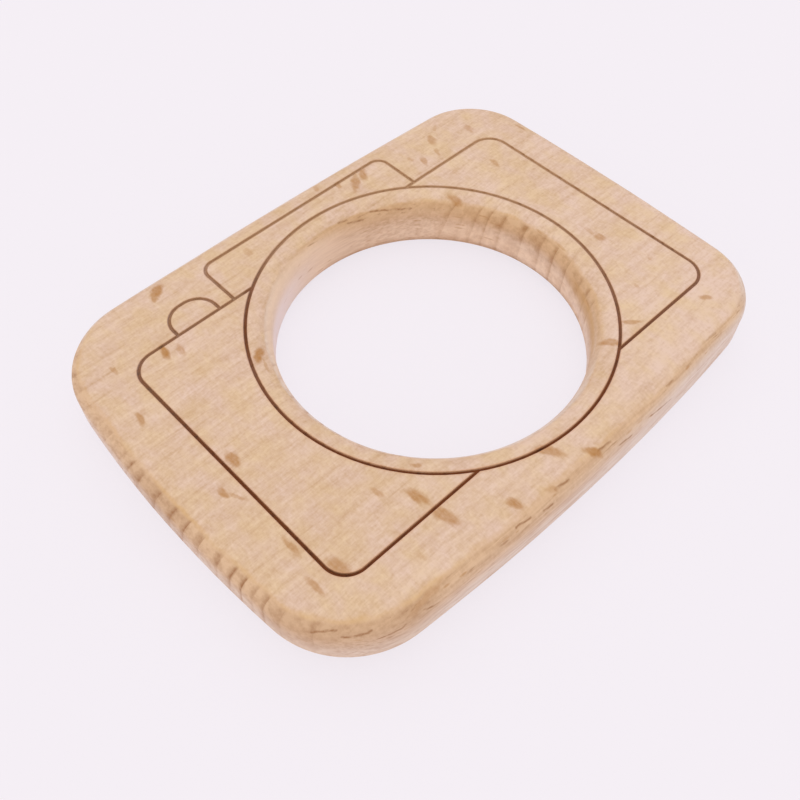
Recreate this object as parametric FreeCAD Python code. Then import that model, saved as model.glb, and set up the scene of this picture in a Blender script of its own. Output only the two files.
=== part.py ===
import FreeCAD, Part
import os

Vector = FreeCAD.Vector

# A small child's toy camera, sawn and sanded from one piece of beech.
# A flat plate has a round hole for the lens, and the camera's front is burnt into its upper face as thin grooves.
# X runs along the camera's width and along the grain, Y runs to the camera's top, Z stands out of the drawn face.
# The plate lies on Z = 0, and the middle of its outline is on the Z axis.

# Plate
plate_length = 90.0
plate_height = 67.4
plate_thickness = 10.0
plate_edge_round = 3.0

# The four sides bow outwards a little: the radius of each side's arc
left_side_radius = 197.0
bottom_side_radius = 360.0
right_side_radius = 580.0
top_side_radius = 1000.0

# How far the crest of each side lies anticlockwise of the side's middle, as the sanding left it
left_crest_shift = 0.3
bottom_crest_shift = 1.2
right_crest_shift = 9.4
top_crest_shift = 12.5

# Corners of the outline
bottom_left_corner_radius = 14.3
bottom_right_corner_radius = 11.5
top_right_corner_radius = 11.8
top_left_corner_radius = 12.8

# Lens hole, whose centre lies right of and below the middle of the plate
lens_hole_diameter = 46.8
lens_edge_round = 3.0
lens_shift_right = 1.75
lens_shift_down = 0.95

# Burnt grooves
line_width = 0.5
line_depth = 0.3

# Lens ring: how far its line lies outside the rounded edge of the hole
ring_margin = 0.65

# Outline of the camera's body: how far its line lies inside each side of the plate
body_margin_left = 9.2
body_margin_right = 7.65
body_margin_top = 12.65
body_margin_bottom = 9.8
body_corner_radius = 3.5

# Viewfinder housing, drawn on the body's upper line
finder_width = 36.8
finder_height = 8.45
finder_corner_radius = 2.0
finder_shift_right = 0.25

# Shutter button, drawn on the body's upper line near its left corner
button_width = 7.4
button_height = 4.55
button_corner_radius = 3.35
button_inset = 8.4

# How far each cut reaches past the face that it opens
overrun = 1.0

# A rounded edge takes up at most this share of the wood that it is on
round_limit_share = 0.45

lens_radius = lens_hole_diameter / 2
lens_x = lens_shift_right
lens_y = -lens_shift_down

# The narrowest wood left between the hole and a side of the plate
narrowest_land = min(
    plate_length / 2 - abs(lens_x) - lens_radius,
    plate_height / 2 - abs(lens_y) - lens_radius,
)
round_limit = round_limit_share * min(plate_thickness, narrowest_land)
plate_round = min(plate_edge_round, round_limit)
lens_round = min(lens_edge_round, round_limit)

ring_radius = lens_radius + lens_round + ring_margin
body_left = body_margin_left - plate_length / 2
body_right = plate_length / 2 - body_margin_right
body_bottom = body_margin_bottom - plate_height / 2
body_top = plate_height / 2 - body_margin_top
finder_middle = (body_left + body_right) / 2 + finder_shift_right
finder_top = body_top + finder_height
button_left = body_left + button_inset
button_top = body_top + button_height


def upright_edges(solid):
    """The edges that run straight up through the plate or a cutter."""
    return [
        edge for edge in solid.Edges
        if abs((edge.Vertexes[0].Point - edge.Vertexes[-1].Point).z) > edge.Length * round_limit_share
    ]


def side_disc(turn, reach, radius, shift):
    """A disc whose rim is one bowed side: drawn for the left side, then turned anticlockwise to its own side."""
    disc = Part.makeCylinder(radius, plate_thickness, Vector(radius - reach, -shift, 0))
    disc.rotate(Vector(0, 0, 0), Vector(0, 0, 1), turn)
    return disc


def bowed_plate():
    """The plate before its edges are rounded: where the discs of the four sides overlap."""
    half_length = plate_length / 2
    half_height = plate_height / 2
    plate = side_disc(0, half_length, left_side_radius, left_crest_shift)
    plate = plate.common(side_disc(90, half_height, bottom_side_radius, bottom_crest_shift))
    plate = plate.common(side_disc(180, half_length, right_side_radius, right_crest_shift))
    plate = plate.common(side_disc(270, half_height, top_side_radius, top_crest_shift))
    return plate.Solids[0]


def round_corners(plate):
    """Rounds the four corners of the outline, each to its own radius."""
    radii = {
        (False, False): bottom_left_corner_radius,
        (True, False): bottom_right_corner_radius,
        (True, True): top_right_corner_radius,
        (False, True): top_left_corner_radius,
    }
    for (right, upper), radius in radii.items():
        corner = [
            edge for edge in upright_edges(plate)
            if (edge.CenterOfMass.x > 0) == right and (edge.CenterOfMass.y > 0) == upper
        ]
        # A corner that is already rounded leaves two edges, and the sharp one is the furthest out
        sharp = max(corner, key=lambda edge: edge.CenterOfMass.Length)
        plate = plate.makeFillet(radius, [sharp])
    return plate


def soften_rims(plate):
    """Rounds the rim of both faces, all the way round the outline."""
    rims = [edge for edge in plate.Edges if edge not in upright_edges(plate)]
    return plate.makeFillet(plate_round, rims)


def cut_lens_hole(plate):
    """Cuts the hole through the plate and rounds both of its rims."""
    drill = Part.makeCylinder(lens_radius, plate_thickness + 2 * overrun, Vector(lens_x, lens_y, -overrun))
    plate = plate.cut(drill).Solids[0]
    rims = [
        edge for edge in plate.Edges
        if isinstance(edge.Curve, Part.Circle)
        and abs(edge.Curve.Radius - lens_radius) < line_depth
        and edge.Curve.Center.distanceToPoint(Vector(lens_x, lens_y, edge.Curve.Center.z)) < line_depth
    ]
    return plate.makeFillet(lens_round, rims)


def disc_cutter(radius):
    """A round cutter about the lens, from the bottom of a groove to above the face."""
    return Part.makeCylinder(radius, line_depth + overrun, Vector(lens_x, lens_y, plate_thickness - line_depth))


def panel_cutter(left, right, bottom, top, radius, lower_too):
    """A square cutter with rounded upper corners, and rounded lower ones if lower_too."""
    block = Part.makeBox(
        right - left, top - bottom, line_depth + overrun, Vector(left, bottom, plate_thickness - line_depth)
    )
    middle = (bottom + top) / 2
    corners = [edge for edge in upright_edges(block) if lower_too or edge.CenterOfMass.y > middle]
    return block.makeFillet(radius, corners)


def ring_groove():
    """The lens ring."""
    return disc_cutter(ring_radius + line_width / 2).cut(disc_cutter(ring_radius - line_width / 2))


def body_groove():
    """The outline of the camera's body, all the way round."""
    half = line_width / 2
    outer = panel_cutter(
        body_left - half, body_right + half, body_bottom - half, body_top + half, body_corner_radius + half, True
    )
    inner = panel_cutter(
        body_left + half, body_right - half, body_bottom + half, body_top - half, body_corner_radius - half, True
    )
    return outer.cut(inner)


def arch_groove(left, right, top, radius):
    """An outline that stands on the body's upper line and is open towards it."""
    half = line_width / 2
    outer = panel_cutter(left - half, right + half, body_top, top + half, radius + half, False)
    inner = panel_cutter(left + half, right - half, body_top - overrun, top - half, radius - half, False)
    return outer.cut(inner)


def drawing():
    """Every burnt groove as one cutter. The outlines stop at the lens ring, and nothing is drawn inside it."""
    half_finder = finder_width / 2
    finder = arch_groove(finder_middle - half_finder, finder_middle + half_finder, finder_top, finder_corner_radius)
    button = arch_groove(button_left, button_left + button_width, button_top, button_corner_radius)
    outlines = body_groove().fuse([finder, button])
    return outlines.cut(disc_cutter(ring_radius)).fuse(ring_groove())


def beech_body():
    """The whole toy: one piece of beech."""
    plate = soften_rims(round_corners(bowed_plate()))
    plate = cut_lens_hole(plate)
    return plate.cut(drawing()).Solids[0]


os.makedirs("parts", exist_ok=True)
body = beech_body()
body.exportStep("parts/beech_body.step")
box = body.optimalBoundingBox()
print("beech_body", "valid" if body.isValid() else "not valid", "volume", round(body.Volume, 2))
print("size", round(box.XLength, 3), round(box.YLength, 3), round(box.ZLength, 3))
print("middle", round(box.Center.x, 4), round(box.Center.y, 4), "lowest", round(box.ZMin, 4))
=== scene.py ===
import math

import bmesh
import bpy
from mathutils import Matrix, Quaternion, Vector, geometry, noise


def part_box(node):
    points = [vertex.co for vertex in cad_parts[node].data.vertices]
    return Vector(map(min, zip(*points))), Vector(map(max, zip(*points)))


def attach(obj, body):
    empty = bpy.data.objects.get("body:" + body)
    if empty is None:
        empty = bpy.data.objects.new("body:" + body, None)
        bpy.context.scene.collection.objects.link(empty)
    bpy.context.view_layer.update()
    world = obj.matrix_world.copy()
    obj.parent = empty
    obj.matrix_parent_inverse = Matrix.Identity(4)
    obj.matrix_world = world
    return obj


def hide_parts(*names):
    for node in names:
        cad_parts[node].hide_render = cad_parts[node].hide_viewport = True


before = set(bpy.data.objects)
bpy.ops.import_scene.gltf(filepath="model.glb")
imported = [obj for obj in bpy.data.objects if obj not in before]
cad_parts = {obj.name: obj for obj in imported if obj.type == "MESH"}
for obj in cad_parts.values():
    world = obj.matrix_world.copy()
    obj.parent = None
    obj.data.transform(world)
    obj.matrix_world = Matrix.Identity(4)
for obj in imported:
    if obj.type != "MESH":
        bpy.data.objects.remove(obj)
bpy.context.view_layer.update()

# The beech plate.
# One board of beech, sawn to a slightly bowed outline with a round lens hole drilled through it.
# Both rims of the outline and of the hole are rounded with the same cutter and then sanded by hand.
lowest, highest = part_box("beech_body")
plate_length = highest.x - lowest.x
plate_height = highest.y - lowest.y
plate_thickness = highest.z - lowest.z
rim_round = 0.003
rim_steps = 14

# Each side in turn, anticlockwise from the left: the way round to it in degrees, its reach from the middle
# of the plate, the radius of its bow, how far its crest lies anticlockwise, and the radius of the corner at
# its end
plate_sides = (
    (0, plate_length / 2, 0.197, 0.0003, 0.0143),
    (90, plate_height / 2, 0.360, 0.0012, 0.0115),
    (180, plate_length / 2, 0.580, 0.0094, 0.0118),
    (270, plate_height / 2, 1.000, 0.0125, 0.0128),
)
side_steps = 48
corner_steps = 26
lens_middle = Vector((0.00175, -0.00095, 0))
lens_radius = 0.0234
lens_steps = 192
sanding_depth = 0.00007
sanding_scale = 0.011
upward = Vector((0, 0, 1))

# Points nearer to each other than this count as one, and a point nearer to a height than this lies at it
hairbreadth = rim_round / 1000


def empty_object(name):
    """A new mesh object at the origin, in the scene."""
    piece = bpy.data.objects.new(name, bpy.data.meshes.new(name))
    bpy.context.scene.collection.objects.link(piece)
    return piece


def of_kind(kind, parts):
    """Only the vertices, or only the edges, out of the parts that an operator gives back."""
    return [part for part in parts if isinstance(part, kind)]


def ends_of(edges):
    """The vertices of some edges, each one once."""
    return list(dict.fromkeys(vertex for edge in edges for vertex in edge.verts))


def edges_at(height, edges):
    """The edges that lie flat at one height."""
    return [edge for edge in edges if all(abs(vertex.co.z - height) < hairbreadth for vertex in edge.verts)]


def swing(mesh, parts, centre, angle, steps, axis=upward, closed=False):
    """Sweeps the newest vertices and edges round a centre, and gives the ones that they end on. A closed
    sweep is merged where it comes round to its start."""
    made = bmesh.ops.spin(
        mesh, geom=parts, cent=centre, axis=axis, dvec=Vector(), angle=angle, steps=steps,
        use_merge=closed, use_normal_flip=False, use_duplicate=False,
    )
    return made["geom_last"]


def plate_outline(mesh):
    """The outline on the floor. Each bowed side is an arc, and each corner's arc touches two of them."""
    bows = []
    for turn, reach, radius, shift, corner in plate_sides:
        middle = Matrix.Rotation(math.radians(turn), 3, "Z") @ Vector((radius - reach, -shift, 0))
        to_corner = Matrix.Rotation(math.radians(turn + 45), 2) @ Vector((-1, 0))
        bows.append((middle, radius, corner, to_corner))
    next_bows = bows[1:] + bows[:1]

    # A corner's middle is where two arcs cross that run a corner radius inside its two sides
    joints = []
    for (middle, radius, corner, to_corner), next_bow in zip(bows, next_bows):
        crossings = geometry.intersect_sphere_sphere_2d(
            middle.xy, radius - corner, next_bow[0].xy, next_bow[1] - corner
        )
        joints.append(max(crossings, key=lambda crossing: crossing @ to_corner).to_3d())

    first_middle = bows[0][0]
    side_start = first_middle + (joints[-1] - first_middle).normalized() * bows[0][1]
    tip = [mesh.verts.new(side_start)]
    for (middle, radius, corner, to_corner), joint, next_bow in zip(bows, joints, next_bows):
        side_end = joint - middle
        corner_end = joint - next_bow[0]
        side_angle = (side_start - middle).xy.angle_signed(side_end.xy)
        tip = swing(mesh, tip, middle, -side_angle, side_steps)
        corner_angle = side_end.xy.angle_signed(corner_end.xy)
        tip = swing(mesh, tip, joint, -corner_angle, corner_steps)
        side_start = joint + corner_end.normalized() * corner
    bmesh.ops.remove_doubles(mesh, verts=mesh.verts, dist=hairbreadth)
    return bmesh.ops.contextual_create(mesh, geom=mesh.edges)["faces"]


def rounded_slab(mesh):
    """The sawn plate with both rims rounded, and its two flat faces taken off again for the hole."""
    sole = plate_outline(mesh)
    risen = bmesh.ops.extrude_face_region(mesh, geom=sole, use_keep_orig=True)["geom"]
    risen = of_kind(bmesh.types.BMVert, risen)
    bmesh.ops.translate(mesh, verts=risen, vec=(0, 0, plate_thickness))
    rims = edges_at(0, mesh.edges) + edges_at(plate_thickness, mesh.edges)
    bmesh.ops.bevel(
        mesh, geom=rims, offset=rim_round, offset_type="OFFSET", segments=rim_steps, profile=0.5,
        affect="EDGES", material=-1, clamp_overlap=True, loop_slide=True,
    )
    flats = [face for face in mesh.faces if len(face.verts) > 4]
    bmesh.ops.delete(mesh, geom=flats, context="FACES_ONLY")


def turned_hole(mesh):
    """The wall of the hole. Its section swings up the lower rim, runs up the wall and swings out over the
    upper rim, and then it is turned all the way round the lens."""
    quarter_turn = math.radians(90)
    sideways = Vector((0, 1, 0))
    rim_reach = lens_middle + Vector((lens_radius + rim_round, 0, 0))
    before = set(mesh.edges)
    tip = [mesh.verts.new(rim_reach)]
    tip = swing(mesh, tip, rim_reach + upward * rim_round, quarter_turn, rim_steps, sideways)
    tip = bmesh.ops.extrude_vert_indiv(mesh, verts=tip)["verts"]
    bmesh.ops.translate(mesh, verts=tip, vec=upward * (plate_thickness - 2 * rim_round))
    swing(mesh, tip, rim_reach + upward * (plate_thickness - rim_round), quarter_turn, rim_steps, sideways)
    section = [edge for edge in mesh.edges if edge not in before]
    swing(mesh, section + ends_of(section), lens_middle, math.tau, lens_steps, closed=True)


def sand(mesh):
    """Takes the last few hundredths off the rounded rims and the walls by hand, never the same twice."""
    mesh.normal_update()
    for vertex in mesh.verts:
        if hairbreadth < vertex.co.z < plate_thickness - hairbreadth:
            depth = sanding_depth * (1 + noise.noise(vertex.co / sanding_scale)) / 2
            vertex.co -= vertex.normal * depth


def beech_blank():
    """The finished plate before anything is burnt into it."""
    mesh = bmesh.new()
    rounded_slab(mesh)
    turned_hole(mesh)
    bmesh.ops.recalc_face_normals(mesh, faces=mesh.faces)
    for height, facing in ((0, -upward), (plate_thickness, upward)):
        rims = [edge for edge in edges_at(height, mesh.edges) if edge.is_boundary]
        bmesh.ops.triangle_fill(mesh, use_beauty=True, use_dissolve=False, edges=rims, normal=facing)
    bmesh.ops.recalc_face_normals(mesh, faces=mesh.faces)
    sand(mesh)
    blank = empty_object("beech_plate")
    mesh.to_mesh(blank.data)
    mesh.free()
    return blank


plate = beech_blank()

# The burnt drawing.
# A laser burns the camera's front into the upper face: the lens ring, the body, the viewfinder housing and
# the button. Each line is a shallow groove with softened lips, and its wood is charred brown.
line_width = 0.0005
line_depth = 0.0003
ring_radius = lens_radius + rim_round + 0.00065
body_left = lowest.x + 0.0092
body_right = highest.x - 0.00765
body_top = highest.y - 0.01265
body_bottom = lowest.y + 0.0098
body_corner = 0.0035
finder_width = 0.0368
finder_height = 0.00845
finder_corner = 0.002
finder_middle = (body_left + body_right) / 2 + 0.00025
button_width = 0.0074
button_height = 0.00455
button_corner = 0.00335
button_left = body_left + 0.0084

# Half of the groove's section, from above its lip to mid-floor, in shares of its width and depth
section_shares = (
    (0.6, 0.25), (0.54, 0.0), (0.49, -0.1), (0.43, -0.45), (0.32, -0.82), (0.16, -0.97), (0, -1),
)
turn_steps_per_circle = 96
weld_reach = line_width / 500
crisp_angle = math.radians(30)


def laser_cutter(name, start, heading, moves):
    """The shape that a burnt line takes away. The laser starts with a heading, then makes each move in
    turn: a run straight on, or a turn of some radius to the left by an angle."""
    mesh = bmesh.new()
    place = Vector((start[0], start[1], plate_thickness))
    ahead = Vector((math.cos(heading), math.sin(heading), 0))
    side = ahead.cross(upward)
    half = [(across * line_width, up * line_depth) for across, up in section_shares]
    outline = half + [(-across, up) for across, up in reversed(half[:-1])]
    corners = [mesh.verts.new(place + side * across + upward * up) for across, up in outline]
    tip = [mesh.edges.new((corners[k - 1], corners[k])) for k in range(len(corners))]
    bmesh.ops.contextual_create(mesh, geom=tip)
    for kind, size, angle in moves:
        if kind == "run":
            made = bmesh.ops.extrude_edge_only(mesh, edges=tip)["geom"]
            moved = of_kind(bmesh.types.BMVert, made)
            bmesh.ops.translate(mesh, verts=moved, vec=ahead * size)
            place = place + ahead * size
        else:
            centre = place + upward.cross(ahead) * size
            steps = round(angle / math.tau * turn_steps_per_circle)
            made = swing(mesh, tip + ends_of(tip), centre, angle, steps)
            turn = Matrix.Rotation(angle, 3, "Z")
            place = centre + turn @ (place - centre)
            ahead = turn @ ahead
        tip = of_kind(bmesh.types.BMEdge, made)

    # A line that has gone full circle is welded where it meets itself, and any other gets a cap
    if math.isclose(sum(angle for kind, size, angle in moves), math.tau):
        caps = [face for face in mesh.faces if len(face.verts) > 4]
        bmesh.ops.delete(mesh, geom=caps, context="FACES_ONLY")
        bmesh.ops.remove_doubles(mesh, verts=mesh.verts, dist=weld_reach)
    else:
        bmesh.ops.contextual_create(mesh, geom=tip)
    bmesh.ops.recalc_face_normals(mesh, faces=mesh.faces)
    cutter = empty_object(name)
    mesh.to_mesh(cutter.data)
    mesh.free()
    return cutter


def run(length):
    """A run straight on."""
    return ("run", length, 0)


def quarter(radius):
    """A quarter turn to the left."""
    return ("turn", radius, math.pi / 2)


def arch(width, height, corner):
    """The moves round an outline on the body's upper line, from its right foot to its left one."""
    post = run(height - corner)
    return (post, quarter(corner), run(width - 2 * corner), quarter(corner), post)


def ring_crossing(y):
    """How far to either side of the lens a level line meets the lens ring."""
    return math.sqrt(ring_radius ** 2 - (y - lens_middle.y) ** 2)


def drawn_lines():
    """The path of each line in the drawing. The body's outline starts and ends on the lens ring."""
    top_left = lens_middle.x - ring_crossing(body_top)
    low_left = lens_middle.x - ring_crossing(body_bottom)
    top_right = lens_middle.x + ring_crossing(body_top)
    low_right = lens_middle.x + ring_crossing(body_bottom)
    bend = quarter(body_corner)
    upright = run(body_top - body_bottom - 2 * body_corner)
    left_half = (
        run(top_left - body_left - body_corner), bend, upright,
        bend, run(low_left - body_left - body_corner),
    )
    right_half = (
        run(body_right - body_corner - low_right), bend, upright,
        bend, run(body_right - body_corner - top_right),
    )
    finder = arch(finder_width, finder_height, finder_corner)
    button = arch(button_width, button_height, button_corner)
    ring = (("turn", ring_radius, math.tau),)
    north = math.pi / 2
    return (
        laser_cutter("body_left_line", (top_left, body_top), math.pi, left_half),
        laser_cutter("body_right_line", (low_right, body_bottom), 0, right_half),
        laser_cutter("finder_line", (finder_middle + finder_width / 2, body_top), north, finder),
        laser_cutter("button_line", (button_left + button_width, body_top), north, button),
        laser_cutter("ring_line", (lens_middle.x + ring_radius, lens_middle.y), north, ring),
    )


def burn(piece, cutters):
    """Takes every line out of the plate, one after the other."""
    for cutter in cutters:
        cut = piece.modifiers.new(cutter.name, "BOOLEAN")
        cut.operation = "DIFFERENCE"
        cut.solver = "EXACT"
        cut.object = cutter
        graph = bpy.context.evaluated_depsgraph_get()
        burnt = bpy.data.meshes.new_from_object(piece.evaluated_get(graph))
        piece.modifiers.clear()
        piece.data = burnt
        bpy.data.objects.remove(cutter)


def clean_and_shade(piece):
    """Cleans the cut mesh, and shades the rounded rims smooth and the grooves' lips crisp."""
    mesh = bmesh.new()
    mesh.from_mesh(piece.data)
    bmesh.ops.remove_doubles(mesh, verts=mesh.verts, dist=weld_reach)
    bmesh.ops.dissolve_degenerate(mesh, edges=mesh.edges, dist=weld_reach)
    for face in mesh.faces:
        face.smooth = True
    for edge in mesh.edges:
        edge.smooth = edge.calc_face_angle(0) < crisp_angle
    mesh.to_mesh(piece.data)
    mesh.free()
    even = piece.modifiers.new("even_flats", "WEIGHTED_NORMAL")
    even.keep_sharp = True
    even.weight = 100


burn(plate, drawn_lines())
clean_and_shade(plate)

# The finish: plain beech, sanded smooth and left bare, with char in the burnt lines. The growth rings stand
# nearly square to the face, so the face shows fine level lines and the broad flecks of rays that are cut
# flat. The ends show the rings as bands, and the long sides show the rays edge on, as dashes.
metre_in_mm = 1000
face_height = plate_thickness * metre_in_mm
ring_reach = ring_radius * metre_in_mm
lens_x = lens_middle.x * metre_in_mm
lens_y = lens_middle.y * metre_in_mm


def seen(red, green, blue):
    """A colour by its levels on a screen, from 0 to 255, as light."""
    return tuple(((level / 255 + 0.055) / 1.055) ** 2.4 for level in (red, green, blue)) + (1,)


face_pink = seen(231, 200, 182)
face_yellow = seen(229, 197, 161)
fibre_brown = seen(196, 155, 118)
rim_gold = seen(214, 169, 113)
rim_light = seen(222, 185, 150)
rim_dark = seen(160, 112, 74)
# The next five are paler copies of the sides' colours, for painted light: halfway down the sides as if lit
# by the white sheet, on what faces away from the left and low side, and deep in the hole
lit_side_light = seen(231, 210, 197)
lit_side_dark = seen(194, 152, 124)
bounce_lit_wall_light = seen(244, 215, 190)
bounce_lit_wall_dark = seen(204, 166, 136)
bounce_lit_pale = seen(246, 229, 227)
tool_line_brown = seen(150, 100, 58)
ray_brown = seen(182, 128, 73)
char_brown = seen(110, 52, 11)
char_dark = seen(55, 19, 4)
scorch_red = seen(206, 138, 97)
ember_brown = seen(199, 156, 104)

# Where the rounding cutter browned the wood most, and where the laser slowed on the ring
browned_corner = (-39.0, -29.0, 5.0)
browned_patch = (-45.0, 3.0, 6.5)
slowest_spot = (-17.5, 19.0, face_height)

# How far the edges of the broad flecks and of the cutter's lines stray, in millimetres along each axis
fleck_stray = (1.1, 1.1, 0)
line_stray = (0.5, 0.5, 0.5)

# The broad flecks on the upper face. For each: where it is, half its width and half its length in
# millimetres, how far its upper end leans to the left in degrees, and how dark it is
face_flecks = (
    (-24.8, 30.3, 1.0, 1.6, -52, 0.92), (-25.9, 29.2, 0.6, 0.8, -20, 0.78),
    (-30.5, 20.0, 0.6, 1.5, -14, 1.0), (-28.6, 18.6, 0.5, 1.3, -8, 0.55),
    (-37.5, 22.0, 0.4, 1.0, -5, 0.52), (-39.6, 12.6, 0.5, 1.4, -8, 0.75),
    (-38.6, 13.4, 0.35, 0.8, -45, 0.28), (-21.3, 10.4, 0.75, 1.6, -42, 1.0),
    (-21.6, 8.4, 0.25, 1.5, -22, 0.5), (-10.0, 27.3, 0.7, 0.9, 0, 0.32),
    (-34.5, -0.8, 0.7, 1.4, 0, 0.85), (-38.4, -3.9, 0.5, 1.0, 16, 0.8),
    (-37.4, -5.6, 0.35, 1.4, 26, 0.5), (-36.9, -15.6, 0.45, 1.9, 0, 0.67),
    (-38.2, -21.5, 0.45, 1.6, 0, 0.62), (-34.5, -21.6, 0.85, 1.8, 18, 0.72),
    (-21.0, -21.4, 0.8, 1.8, 16, 0.86), (-20.4, -25.6, 0.95, 2.2, 12, 0.76),
    (-24.2, -17.3, 0.5, 1.0, 10, 0.55), (-26.4, -27.5, 0.5, 1.0, 20, 0.2),
    (-12.9, -30.4, 0.7, 1.3, 26, 0.82), (-3.9, -28.3, 0.75, 2.3, 30, 0.76),
    (0.5, -32.2, 0.6, 1.5, 50, 0.93), (-17.9, -17.8, 0.35, 0.9, 45, 0.64),
    (-29.5, -31.4, 0.4, 3.6, 93, 0.38), (31.4, -7.9, 0.75, 1.0, 0, 0.65),
    (31.3, -5.9, 0.4, 1.4, 0, 0.3), (16.2, -22.1, 0.7, 1.8, 34, 0.76),
    (21.3, -22.0, 0.4, 1.6, 48, 0.7), (32.9, -26.5, 0.5, 1.0, 42, 0.68),
    (33.3, -16.1, 0.3, 0.5, 0, 0.32), (27.4, -18.2, 0.3, 0.5, 0, 0.35),
    (12.4, 27.6, 0.8, 2.4, -40, 0.76), (14.7, 28.2, 0.75, 1.4, -36, 0.84),
    (10.0, 29.0, 0.5, 1.1, -20, 0.6), (7.0, 31.0, 0.45, 1.0, -30, 0.45),
    (28.9, 26.6, 0.65, 1.4, -24, 0.62), (31.5, 28.4, 0.3, 1.1, -50, 0.27),
    (24.2, 23.6, 0.45, 1.2, -20, 0.62), (27.4, 23.6, 0.4, 1.0, -25, 0.5),
    (22.9, 25.5, 0.35, 0.8, 0, 0.38), (35.7, 24.4, 0.65, 1.3, -5, 0.5),
    (32.4, 15.1, 0.6, 1.1, -25, 0.58), (21.6, 13.8, 0.65, 1.5, 12, 0.78),
    (42.5, 18.5, 0.4, 1.1, 0, 0.6), (-7.6, -32.2, 0.5, 0.8, 60, 0.4),
)

# Thin lines of scorch that the rounding cutter left along the rims, each as the points that it runs through
cutter_lines = (
    ((-41.9, -25.0, 8.4), (-40.8, -26.2, 8.85), (-39.8, -27.1, 9.05)),
    ((-39.8, -27.9, 8.35), (-38.5, -28.95, 8.4), (-37.3, -29.7, 8.5), (-36.8, -29.8, 8.8)),
    ((-36.6, -30.6, 7.2), (-35.0, -31.2, 7.4), (-33.7, -31.7, 7.5), (-33.2, -31.8, 7.8)),
    ((-30.3, -32.1, 8.1), (-29.1, -32.3, 7.7), (-28.2, -32.45, 7.5)),
    ((-14.8, -32.5, 9.1), (-12.5, -32.75, 8.9)),
    ((-10.2, -33.2, 8.4), (-8.7, -33.3, 8.3)),
    ((-7.3, -32.35, 9.4), (-5.0, -32.6, 9.2)),
    ((1.2, -32.4, 9.4), (3.5, -32.65, 9.2)),
    ((4.7, -33.45, 8.0), (7.3, -33.5, 7.7)),
    ((11.6, -33.4, 7.8), (14.0, -33.4, 7.4), (16.8, -33.3, 6.8)),
    ((16.2, -32.2, 9.35), (17.7, -32.25, 9.25)),
    ((21.0, -32.1, 9.25), (23.7, -31.9, 9.3)),
    ((26.6, -31.35, 9.5), (28.8, -31.3, 9.45)),
    ((4.8, 23.2, 9.2), (6.2, 22.8, 9.0)),
    ((6.2, 22.45, 8.55), (8.6, 21.75, 8.35)),
    ((10.3, 21.7, 9.0), (12.6, 20.35, 8.7), (15.9, 18.2, 8.45)),
)

beech = bpy.data.materials.new("sanded_beech")
beech.use_nodes = True
tree = beech.node_tree
tree.nodes.clear()


def feed(socket, value):
    """Gives a socket a number, a colour, or another node's output."""
    if isinstance(value, bpy.types.NodeSocket):
        tree.links.new(value, socket)
    else:
        socket.default_value = value


def node(kind, inputs=None, **settings):
    """Adds a node, sets it up, and feeds its inputs."""
    made = tree.nodes.new(kind)
    for name, value in settings.items():
        setattr(made, name, value)
    for name, value in (inputs or {}).items():
        feed(made.inputs[name], value)
    return made


def maths(operation, *values):
    """One sum on up to three values."""
    return node("ShaderNodeMath", dict(enumerate(values)), operation=operation).outputs[0]


def times(first, *others):
    """The product of all its values."""
    for other in others:
        first = maths("MULTIPLY", first, other)
    return first


def plus(first, *others):
    """The sum of all its values."""
    for other in others:
        first = maths("ADD", first, other)
    return first


def minus(a, b):
    return maths("SUBTRACT", a, b)


def less(value, *shares):
    """A value with a share of it taken away. The share is the product of the shares that are given."""
    return times(value, minus(1, times(*shares)))


def least(a, b):
    return maths("MINIMUM", a, b)


def most(a, b):
    return maths("MAXIMUM", a, b)


def held(a):
    """A value kept between nothing and one."""
    return least(most(a, 0.0), 1.0)


def size_of(a):
    return maths("ABSOLUTE", a)


def reach_of(a, b):
    """The length of a slope that goes a across and b along."""
    return maths("SQRT", plus(maths("POWER", a, 2), maths("POWER", b, 2)))


def ramp(value, start, end, low=0.0, high=1.0):
    """Eases from low to high as the value goes from start to end."""
    inputs = {"Value": value, "From Min": start, "From Max": end, "To Min": low, "To Max": high}
    return node("ShaderNodeMapRange", inputs, interpolation_type="SMOOTHSTEP").outputs["Result"]


def point(x, y, z):
    return node("ShaderNodeCombineXYZ", {"X": x, "Y": y, "Z": z}).outputs["Vector"]


def parts_of(vector):
    """The X, Y and Z of a point or of a direction."""
    return node("ShaderNodeSeparateXYZ", {0: vector}).outputs


def on_vectors(operation, inputs, output="Vector"):
    """One sum on vectors, with its inputs by their number."""
    return node("ShaderNodeVectorMath", inputs, operation=operation).outputs[output]


def clouds(place, detail=2.0, roughness=0.5, output="Fac"):
    """Noise about a half, a unit across."""
    inputs = {"Vector": place, "Scale": 1.0, "Detail": detail, "Roughness": roughness}
    return node("ShaderNodeTexNoise", inputs).outputs[output]


def spots(place, randomness, **settings):
    """Scattered spots a unit apart: how far a point lies from its spot, and that spot's own chances."""
    inputs = {"Vector": place, "Scale": 1.0, "Randomness": randomness}
    made = node("ShaderNodeTexVoronoi", inputs, **settings)
    return made.outputs["Distance"], node("ShaderNodeSeparateColor", {0: made.outputs["Color"]}).outputs


def blend(amount, first, second):
    """Goes from the first colour to the second by an amount."""
    made = node("ShaderNodeMix", data_type="RGBA")
    feed(made.inputs["Factor"], amount)
    feed(made.inputs[6], first)
    feed(made.inputs[7], second)
    return made.outputs[2]


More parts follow.
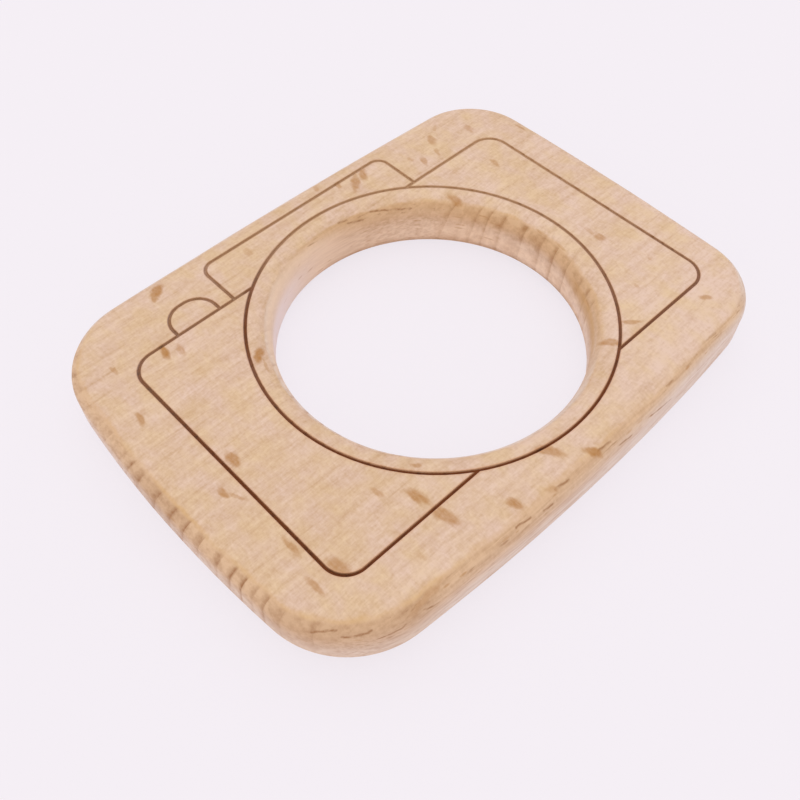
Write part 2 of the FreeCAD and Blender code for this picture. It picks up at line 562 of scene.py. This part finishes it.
class Wood:
    """Where a point lies in the board, which way its surface faces there, and how uneven the grain is.
    Places are in millimetres. Out is the way through the rings."""
    def __init__(self):
        self.place = on_vectors("SCALE", {0: node("ShaderNodeTexCoord").outputs["Object"], 3: metre_in_mm})
        place = parts_of(self.place)
        self.x, self.y, self.z = place["X"], place["Y"], place["Z"]
        self.depth = minus(face_height, self.z)

        # The rings lean outwards with depth, more at the left end of the board and more towards its top
        lean = times(plus(0.38, times(self.y, 0.016)), minus(0.52, times(self.x, 0.0107)))
        wander = clouds(point(times(self.x, 0.025), times(self.y, 0.06), times(self.z, 0.03)))
        self.out = plus(minus(self.y, times(lean, self.depth)), times(minus(wander, 0.5), 1.8))

        # Which way the surface faces, and how far it is level or cuts across the grain
        normal = parts_of(node("ShaderNodeNewGeometry").outputs["Normal"])
        self.faces_right, self.faces_up = normal["X"], normal["Y"]
        self.faces_low = minus(0, self.faces_up)
        self.level = size_of(normal["Z"])
        sideways = reach_of(self.faces_right, self.faces_up)
        self.end_grain = ramp(maths("DIVIDE", size_of(self.faces_right), most(sideways, 0.01)), 0.6, 0.94)

        right_of_lens = minus(self.x, lens_x)
        above_lens = minus(self.y, lens_y)
        self.from_lens = reach_of(right_of_lens, above_lens)
        self.above_lens = maths("DIVIDE", above_lens, most(self.from_lens, 1.0))
        self.left_of_lens = minus(0, maths("DIVIDE", right_of_lens, most(self.from_lens, 1.0)))

        self.streaks = self.uneven(0.13, 0.8, 4.0, 0.6)
        self.pores = self.uneven(0.9, 3.4)
        self.specks = self.uneven(2.3, 1.1, 3.0, 0.65)

    def grain(self, along, across):
        """A point for noise that runs with the grain, given how fine it is along and across the grain."""
        return point(times(self.x, along), times(self.out, across), times(self.z, across))

    def uneven(self, along, across, detail=2.0, roughness=0.5):
        """Noise about nothing that runs with the grain."""
        return minus(clouds(self.grain(along, across), detail, roughness), 0.5)

    def ragged(self, along, across, stray):
        """The place of a point, pushed about by noise, so that what is placed there gets ragged edges."""
        noisy = clouds(self.grain(along, across), 3.0, 0.5, "Color")
        push = on_vectors("SUBTRACT", {0: noisy, 1: (0.5, 0.5, 0.5)})
        return on_vectors("MULTIPLY_ADD", {0: push, 1: stray, 2: self.place})

    def from_spot(self, spot):
        """How far a point lies from a spot in the board."""
        return on_vectors("DISTANCE", {0: self.place, 1: spot}, "Value")


def growth_rings(wood):
    """The dark end of each year's growth: as a fine line, as a softer one, and as a shade that fades into
    the next year. A year is about 2.7 mm wide, and two slow waves make some years wider than others."""
    year = plus(7.6, times(wood.out, 0.374))
    for pace, start, height in ((0.233, 3.63, 0.432), (0.47, 1.5, 0.206)):
        year = plus(year, times(maths("SINE", plus(times(wood.out, pace), start)), height))
    season = maths("FRACT", year)
    chance = node("ShaderNodeTexWhiteNoise", {"W": maths("FLOOR", year)}, noise_dimensions="1D")
    strength = plus(0.3, times(chance.outputs["Value"], 0.7))
    line = most(ramp(season, 0.0, 0.18, 1.0, 0.0), ramp(season, 0.91, 1.0))
    tick = most(ramp(season, 0.0, 0.28, 1.0, 0.0), ramp(season, 0.86, 1.0))
    shade = times(ramp(season, 0.0, 0.6, 1.0, 0.0), ramp(season, 1.0, 0.94))
    return times(line, strength), times(tick, strength), times(shade, strength)


def rays(wood):
    """Rays are thin plates of hard wood that stand along the grain and across the rings, each a few
    millimetres long. Cut flat they are flecks, and cut edge on they are dashes."""
    place = point(times(wood.x, 0.42), times(wood.y, 0.22), times(wood.z, 1.9))
    reach, chances = spots(place, 1.0)
    radius = times(ramp(chances[0], 0.3, 1.0), 0.36)
    return times(ramp(reach, radius, times(radius, 0.5)), chances[1])


def placed_flecks(wood):
    """The flecks that show on the upper face, one by one, with ragged edges."""
    place = wood.ragged(0.9, 0.5, fleck_stray)
    fleck_depth = 2.5
    total = 0.0
    for x, y, half_width, half_length, lean, strength in face_flecks:
        inputs = {
            "Vector": place, "Location": (x, y, face_height), "Rotation": (0, 0, math.radians(lean)),
            "Scale": (half_width, half_length, fleck_depth),
        }
        near = node("ShaderNodeMapping", inputs, vector_type="TEXTURE").outputs["Vector"]
        total = most(total, ramp(on_vectors("LENGTH", {0: near}, "Value"), 1.3, 0.5, 0.0, strength))
    return total


def scattered_flecks(wood):
    """Broad flecks of the same kind on the underside, a few millimetres apart."""
    place = parts_of(wood.ragged(0.9, 0.5, fleck_stray))
    leaning = plus(place["X"], times(place["Y"], 0.3))
    place = point(times(leaning, 0.19), times(place["Y"], 0.1), 0.0)
    reach, chances = spots(place, 0.9, voronoi_dimensions="2D")
    radius = times(ramp(chances[0], 0.35, 1.0), 0.17)
    body = ramp(reach, radius, times(radius, 0.4))
    return times(body, ramp(chances[1], 0.0, 1.0, 0.4, 0.95), ramp(wood.z, 1.2, 0.4))


def from_cutter_lines(wood):
    """How far in millimetres a point lies from the nearest of the cutter's lines of scorch."""
    place = wood.ragged(0.8, 0.8, line_stray)
    nearest = 100.0
    for line in cutter_lines:
        for start, end in zip(line, line[1:]):
            run = Vector(end) - Vector(start)
            offset = on_vectors("SUBTRACT", {0: place, 1: start})
            share = held(on_vectors("DOT_PRODUCT", {0: offset, 1: run / run.length_squared}, "Value"))
            foot = on_vectors("SCALE", {0: run, 3: share})
            nearest = least(nearest, on_vectors("DISTANCE", {0: offset, 1: foot}, "Value"))
    return nearest


def from_burnt_lines(wood):
    """How far in millimetres a point of the face lies from the middle of the nearest burnt line."""
    def framed(left, right, bottom, top, corner):
        """The same for the outline of one panel with rounded corners, which is given in metres."""
        across = size_of(minus(wood.x, (left + right) / 2 * metre_in_mm))
        along = size_of(minus(wood.y, (bottom + top) / 2 * metre_in_mm))
        across = minus(across, ((right - left) / 2 - corner) * metre_in_mm)
        along = minus(along, ((top - bottom) / 2 - corner) * metre_in_mm)
        outside = reach_of(most(across, 0), most(along, 0))
        inside = least(most(across, along), 0)
        return size_of(minus(plus(outside, inside), corner * metre_in_mm))

    ring = size_of(minus(wood.from_lens, ring_reach))
    body = framed(body_left, body_right, body_bottom, body_top, body_corner)
    body = most(body, minus(ring_reach, wood.from_lens))
    finder_left = finder_middle - finder_width / 2
    finder = framed(
        finder_left, finder_left + finder_width, body_bottom, body_top + finder_height, finder_corner
    )
    button = framed(
        button_left, button_left + button_width, body_bottom, body_top + button_height, button_corner
    )
    arches = most(least(finder, button), minus(body_top * metre_in_mm, wood.y))
    return least(least(ring, body), arches)


def open_face(wood, ring_line):
    """The sanded face: streaks, pores and faint ring lines on a colour that drifts between pink and yellow.
    The board is paler and pinker towards the lower right."""
    pale_end = ramp(minus(times(wood.x, 0.7), wood.y), 10.0, 50.0)
    tone = minus(0.275, times(pale_end, 0.13))
    tone = plus(tone, times(wood.streaks, 1.1), times(wood.pores, 0.65), times(wood.specks, 0.95))
    tone = plus(tone, times(wood.uneven(0.05, 0.11), 0.35))
    tone = plus(tone, times(ring_line, ramp(wood.uneven(0.14, 0.3, 3.0, 0.6), -0.12, 0.16, 0.0, 0.3)))
    hue = minus(clouds(wood.grain(0.34, 0.24), 3.0, 0.5), times(pale_end, 0.06))
    return blend(most(tone, 0.0), blend(ramp(hue, 0.25, 0.75), face_pink, face_yellow), fibre_brown)


class Rim:
    """Where a point lies on the rounded rims and down the sides, and on which stretch of them."""
    def __init__(self, wood):
        self.in_hole = ramp(wood.from_lens, 27.0, 26.0)
        self.long_grain = minus(1, wood.end_grain)
        self.turned = plus(wood.level, times(wood.uneven(0.3, 0.3, 3.0, 0.6), 0.22))
        self.turned = plus(self.turned, times(self.in_hole, 0.1), times(wood.end_grain, 0.04))

        # How far a point lies in from the nearer face. The lower rim counts as closer than it is
        self.inward = least(wood.depth, plus(times(wood.z, 1.5), 1.0))
        self.near_break = ramp(plus(self.inward, times(wood.uneven(0.35, 0.35), 3.0)), 4.6, 1.0)

        # Painted shade: what faces left and low, towards the camera and away from the light, is made
        # browner and darker, and what faces away is made paler
        faces_left_low = minus(0, plus(times(wood.faces_right, 0.88), times(wood.faces_up, 0.47)))
        self.shaded_side = ramp(faces_left_low, -0.3, 0.3)

        # Three stretches of the hole's wall, which faces the middle of the hole: at the top left, where
        # light is painted on with paler colours and fainter bands, at the left, and at the lower right
        top_left = minus(times(wood.faces_right, 0.6), times(wood.faces_up, 0.8))
        left = plus(times(wood.left_of_lens, 0.9), times(wood.above_lens, 0.44))
        low_right = minus(times(wood.faces_up, 0.7), times(wood.faces_right, 0.7))
        self.lightened_wall = times(self.in_hole, ramp(top_left, 0.5, 0.9))
        self.left_wall = times(self.in_hole, ramp(left, 0.45, 0.95))
        self.low_right_wall = times(self.in_hole, ramp(low_right, 0.84, 0.96))

        self.upper_left_end = times(ramp(wood.y, 6.0, 13.0), ramp(wood.x, -28.0, -34.0))
        self.from_corner = wood.from_spot(browned_corner)


def golden_break(wood, rim, face):
    """Turns the face golden where a rim begins to turn, only where it faces left and low, which is painted
    shade: less towards the right end of the long sides, and hardly at all at the top of the hole or on its
    lower rim."""
    golden = times(ramp(rim.turned, 0.99, 0.89), ramp(rim.turned, 0.66, 0.84))
    golden = times(golden, ramp(wood.uneven(0.12, 0.12), -0.15, 0.15, 0.25, 0.55))
    golden = less(golden, rim.long_grain, minus(1, rim.in_hole), ramp(wood.x, -5.0, 15.0, 0.0, 0.75))
    golden = less(golden, rim.in_hole, ramp(wood.above_lens, 0.7, 0.9, 0.15, 0.95))
    golden = less(golden, rim.in_hole, ramp(wood.z, 5.0, 3.0))
    return blend(times(golden, rim.shaded_side), face, rim_gold)


def paleness(wood, rim):
    """How pale the wood is, as painted light: more halfway down the sides, as if lit by the white sheet
    below, and wherever a surface faces away from the left and low side. Where the hole's wall faces low it
    is less pale, as painted shade.
    """
    paled = times(ramp(rim.inward, 1.6, 7.2), ramp(rim.from_corner, 7.0, 16.0, 0.72, 1.0))
    paled = plus(paled, times(rim.upper_left_end, ramp(rim.inward, 0.8, 2.5, 0.0, 0.1)))
    long_side = times(rim.long_grain, ramp(rim.inward, 0.6, 2.2), ramp(wood.x, -14.0, 30.0, 0.12, 0.9))
    paled = less(plus(paled, long_side), rim.in_hole, ramp(wood.faces_low, 0.1, 0.7), 0.6)
    # Painted light on what faces away from the left and low side
    lit_away_side = times(minus(1, rim.shaded_side), ramp(rim.inward, 3.5, 1.0, 0.55, 1.0))
    return least(most(paled, lit_away_side), 1.0)


def side_bands(wood, rim, ring_tick, ring_shade):
    """How dark the sides are from place to place. On end grain the rings show as ticks that fade downwards,
    and on long grain the fibres show as streaks."""
    ticks = times(ring_tick, wood.end_grain, plus(0.32, times(rim.near_break, 0.1)))
    ticks = times(ticks, ramp(wood.uneven(0.5, 0.4), -0.12, 0.1, 0.5, 1.1))
    shades = times(ring_shade, plus(0.06, times(wood.end_grain, plus(0.28, times(rim.near_break, 0.1)))))
    rings = less(plus(ticks, shades), rim.upper_left_end, 0.55)

    fibres = times(wood.uneven(0.22, 0.7, 4.0, 0.6), minus(1.4, times(rim.long_grain, 0.8)))
    # The fibres are stronger where a side faces left and low, which is painted shade, and in the hole
    fibres = times(fibres, plus(0.6, times(most(rim.shaded_side, rim.in_hole), 0.4)))
    streaks = plus(times(wood.uneven(0.08, 1.5, 3.0, 0.6), 1.3), times(wood.uneven(0.28, 3.2), 1.2))
    streaked = times(rim.long_grain, ramp(rim.inward, 2.2, 3.4, 0.45, 1.0))
    specks = times(wood.specks, minus(0.85, times(streaked, 0.7)))

    bands = plus(rings, fibres, times(streaks, streaked), specks)
    bands = plus(bands, minus(0.15, times(rim.near_break, wood.end_grain, 0.05)))
    # Painted shade: darker where the hole's wall faces low
    bands = plus(bands, times(rim.in_hole, ramp(wood.faces_low, 0.0, 0.3, 0.0, 0.06)))
    bands = plus(bands, times(rim.low_right_wall, ramp(rim.inward, 4.6, 3.8, 0.0, 0.1)))
    # Painted light: the bands are fainter on the top left stretch of the hole's wall
    return less(held(bands), rim.lightened_wall, 0.55)


def side_wood(wood, rim, bands):
    """The colour of the sides and of the hole's wall, light between the bands and dark in them. Deeper in
    the hole and on its top left stretch the wall is painted paler, as if lit by the white sheet below.
    """
    paled = paleness(wood, rim)
    # Painted light: paler deeper in the hole and on its top left stretch
    bounce_lit_depth = times(rim.in_hole, ramp(rim.inward, 2.8, 6.0), plus(0.45, times(wood.end_grain, 0.55)))
    bounce_lit_depth = most(bounce_lit_depth, times(rim.lightened_wall, 0.85))
    light = blend(bounce_lit_depth, blend(paled, rim_light, lit_side_light), bounce_lit_wall_light)
    dark = blend(bounce_lit_depth, blend(paled, rim_dark, lit_side_dark), bounce_lit_wall_dark)
    return blend(bands, light, dark)


def heat_marks(wood, rim, side):
    """What the cutter's heat left on the sides, each only where a surface faces left and low, which is
    painted
    shade: gold in the hole, brown near the lower left corner and on a patch of the left end, and dark
    fibres along the long sides. The gold in the hole is also painted shade where its wall faces low. The
    left of the hole's wall and the foot of its lower right wall are painted pale, as if lit by the white
    sheet below."""
    # Painted shade: more gold where the hole's wall faces low
    gold_and_shade = plus(ramp(rim.inward, 4.5, 2.0, 0.0, 0.2), ramp(wood.faces_low, 0.1, 0.6, 0.0, 0.12))
    gold_and_shade = times(rim.in_hole, gold_and_shade)
    gold_and_shade = plus(gold_and_shade, times(rim.low_right_wall, ramp(rim.inward, 5.5, 3.5, 0.0, 0.5)))
    side = blend(times(less(gold_and_shade, rim.lightened_wall), rim.shaded_side), side, rim_gold)

    # Painted light: paler towards the foot of the hole's wall, as if lit by the white sheet below
    pale = times(rim.left_wall, ramp(wood.depth, 1.4, 5.2))
    pale = plus(pale, times(rim.low_right_wall, ramp(rim.inward, 5.0, 7.0, 0.0, 0.3)))
    side = blend(pale, side, bounce_lit_pale)

    browned = times(ramp(rim.from_corner, 15.0, 8.0, 0.0, 1.1), ramp(wood.depth, 7.5, 4.0))
    browned = most(browned, ramp(wood.from_spot(browned_patch), 9.0, 3.0))
    browned = most(browned, less(times(rim.in_hole, ramp(rim.inward, 5.5, 2.5, 0.0, 0.3)), rim.lightened_wall))
    side = blend(times(browned, rim.shaded_side, 0.16), side, tool_line_brown)

    dashes = ramp(wood.uneven(0.3, 2.4, 3.0, 0.55), 0.09, 0.2)
    dashes = times(dashes, ramp(wood.uneven(0.15, 0.15), -0.14, 0.06), rim.long_grain)
    dashes = times(dashes, ramp(rim.turned, 0.3, 0.5), 0.5)
    return blend(times(dashes, rim.shaded_side), side, tool_line_brown)


def rounded_sides(wood, face, ring_tick, ring_shade):
    """The same wood over the rims and down the sides, with the cutter's thin lines on it."""
    rim = Rim(wood)
    side = side_wood(wood, rim, side_bands(wood, rim, ring_tick, ring_shade))
    side = heat_marks(wood, rim, side)
    colour = golden_break(wood, rim, face)
    # Painted light: the lower rim of the hole's left wall is made pale, as if lit by the white sheet below
    colour = blend(times(rim.left_wall, ramp(wood.depth, 6.0, 7.5)), colour, bounce_lit_pale)
    colour = blend(ramp(rim.turned, 0.91, 0.78), colour, side)
    marks = times(ramp(from_cutter_lines(wood), 0.28, 0.02), ramp(wood.pores, -0.2, 0.1, 0.25, 0.75))
    return blend(times(marks, ramp(wood.x, 14.0, 22.0, 1.0, 0.5)), colour, tool_line_brown)


def burnt_lines(wood, colour, fleck, ring_line):
    """Char in the grooves, darker where the board lay nearer to the laser, where the laser slowed at the
    ring's upper left, and where they cross a fleck or a ring. Gives the colour, and how charred it is."""
    near = ramp(plus(times(wood.x, 0.5), times(wood.y, 0.85)), -22.0, 30.0, 1.0, 0.0)
    far = minus(1, near)
    heat = plus(0.36, times(near, 0.6))
    heat = minus(heat, times(far, ramp(wood.x, 5.0, 30.0, 0.0, 0.07)))
    on_ring = ramp(size_of(minus(wood.from_lens, ring_reach)), 1.3, 0.7)
    heat = plus(heat, times(ramp(wood.from_spot(slowest_spot), 14.0, 3.0, 0.0, 0.24), on_ring))

    # The char reaches a little past the groove, further where the laser was out of focus
    gap = from_burnt_lines(wood)
    half = line_width * metre_in_mm / 2
    lip = plus(half + 0.22, times(near, -0.2))
    lip = plus(lip, ramp(wood.x, -32.0, -35.0, 0.0, 0.07))
    upper = ramp(wood.depth, 0.8, 0.6)
    groove = times(ramp(gap, lip, half - 0.13), upper)
    scorch = times(ramp(gap, half + 0.3, half - 0.05), upper, 0.35)
    colour = blend(times(scorch, heat), colour, scorch_red)
    colour = blend(times(groove, far, 0.35), colour, ember_brown)

    darkness = plus(times(wood.uneven(0.9, 0.9, 3.0, 0.6), 1.9), times(fleck, 0.8), times(ring_line, 0.4))
    burnt = blend(ramp(plus(0.12, darkness), 0.0, 1.0), char_brown, char_dark)
    char = times(groove, heat)
    return blend(char, colour, burnt), char


def sanded_beech():
    """Puts the finish together."""
    wood = Wood()
    ring_line, ring_tick, ring_shade = growth_rings(wood)
    colour = rounded_sides(wood, open_face(wood, ring_line), ring_tick, ring_shade)

    # Rays: the broad ones that show on the two faces, and the small ones all through the wood
    small = times(rays(wood), ramp(wood.level, 0.86, 0.72, 0.12, 0.55))
    fleck = most(most(placed_flecks(wood), scattered_flecks(wood)), small)
    colour = blend(held(times(fleck, plus(0.87, times(wood.specks, 0.8)))), colour, ray_brown)
    colour, char = burnt_lines(wood, colour, fleck, ring_line)

    roughness = most(plus(0.58, times(wood.streaks, 0.3)), times(char, 0.9))
    height = plus(times(wood.pores, 0.5), times(wood.streaks, 0.4), times(wood.specks, 0.3))
    bump = node("ShaderNodeBump", {"Height": height, "Strength": 0.3, "Distance": 0.00006})
    inputs = {
        "Base Color": colour, "Roughness": roughness, "Specular IOR Level": 0.15,
        "Normal": bump.outputs["Normal"],
    }
    shader = node("ShaderNodeBsdfPrincipled", inputs)
    feed(node("ShaderNodeOutputMaterial").inputs["Surface"], shader.outputs[0])


sanded_beech()
plate.data.materials.clear()
plate.data.materials.append(beech)
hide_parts("beech_body")
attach(plate, "root")

# The table top.
# A plain, faintly lavender white sheet that the plate lies on. To the eye most of its shadow is filled in,
# as under a white tent, and it still sends all of its light back up to the plate's sides.
sheet_reach = 1.2
pale = seen(245, 239, 245)
shadow_left = 0.16

# The sheet lies two hundredths of a millimetre below the plate, so that the two don't share a plane
sheet_gap = 0.00002

sheet = empty_object("white_sheet")
sheet_mesh = bmesh.new()
bmesh.ops.create_grid(sheet_mesh, x_segments=1, y_segments=1, size=sheet_reach)
bmesh.ops.translate(sheet_mesh, verts=sheet_mesh.verts, vec=(0, 0, -sheet_gap))
sheet_mesh.to_mesh(sheet.data)
sheet_mesh.free()
paper = bpy.data.materials.new("white_paper")
paper.use_nodes = True
tree = paper.node_tree
tree.nodes.clear()
matte = node("ShaderNodeBsdfDiffuse", {"Color": pale}).outputs[0]
glow = node("ShaderNodeEmission", {"Color": pale, "Strength": 1.0}).outputs[0]
to_eye = times(node("ShaderNodeLightPath").outputs["Is Camera Ray"], 1 - shadow_left)
sheet_shader = node("ShaderNodeMixShader", {0: to_eye, 1: matte, 2: glow}).outputs[0]
feed(node("ShaderNodeOutputMaterial").inputs["Surface"], sheet_shader)
sheet.data.materials.append(paper)

# The light.
# An even white tent, a broad soft lamp overhead and a weaker one low on the camera's side.
tent_level = 0.8
tent = bpy.data.worlds.new("white_tent")
bpy.context.scene.world = tent
tent.use_nodes = True
tree = tent.node_tree
tree.nodes.clear()
tent_light = node("ShaderNodeBackground", {"Color": (1, 1, 1, 1), "Strength": tent_level}).outputs[0]
tent_seen = node("ShaderNodeBackground", {"Color": pale, "Strength": 1.0}).outputs[0]
path = node("ShaderNodeLightPath").outputs
shown = most(path["Is Camera Ray"], most(path["Is Glossy Ray"], path["Is Transmission Ray"]))
tent_shader = node("ShaderNodeMixShader", {0: shown, 1: tent_light, 2: tent_seen}).outputs[0]
feed(node("ShaderNodeOutputWorld").inputs["Surface"], tent_shader)


def soft_lamp(name, toward, spread, level):
    """A lamp far away. Its light spreads over some degrees, and makes a white surface square to it as
    bright as its level."""
    light = bpy.data.lights.new(name, "SUN")
    light.angle = math.radians(spread)
    light.energy = level * math.pi
    lamp = bpy.data.objects.new(name, light)
    bpy.context.scene.collection.objects.link(lamp)
    lamp.rotation_mode = "QUATERNION"
    lamp.rotation_quaternion = Vector(toward).to_track_quat("Z", "Y")


soft_lamp("overhead", (0.3, 0.4, 1.0), 60, 0.16)
soft_lamp("camera_side", (-0.9, -0.75, 0.6), 60, 0.14)

# The camera.
# It looks down at the plate from close above its lower left corner.
camera_place = Vector((-0.061373, -0.060722, 0.110147))
camera_aim = Vector((-0.009889, -0.006364, 0.005))
camera_roll = math.radians(-0.217)
camera_data = bpy.data.cameras.new("camera")
camera_data.sensor_width = 36
camera_data.lens = 40.9
camera_data.clip_start = 0.005
camera = bpy.data.objects.new("camera", camera_data)
bpy.context.scene.collection.objects.link(camera)
look = (camera_aim - camera_place).to_track_quat("-Z", "Y")
camera.rotation_mode = "QUATERNION"
camera.rotation_quaternion = look @ Quaternion((0, 0, 1), camera_roll)
camera.location = camera_place
bpy.context.scene.camera = camera

bpy.context.scene.view_settings.view_transform = "Standard"
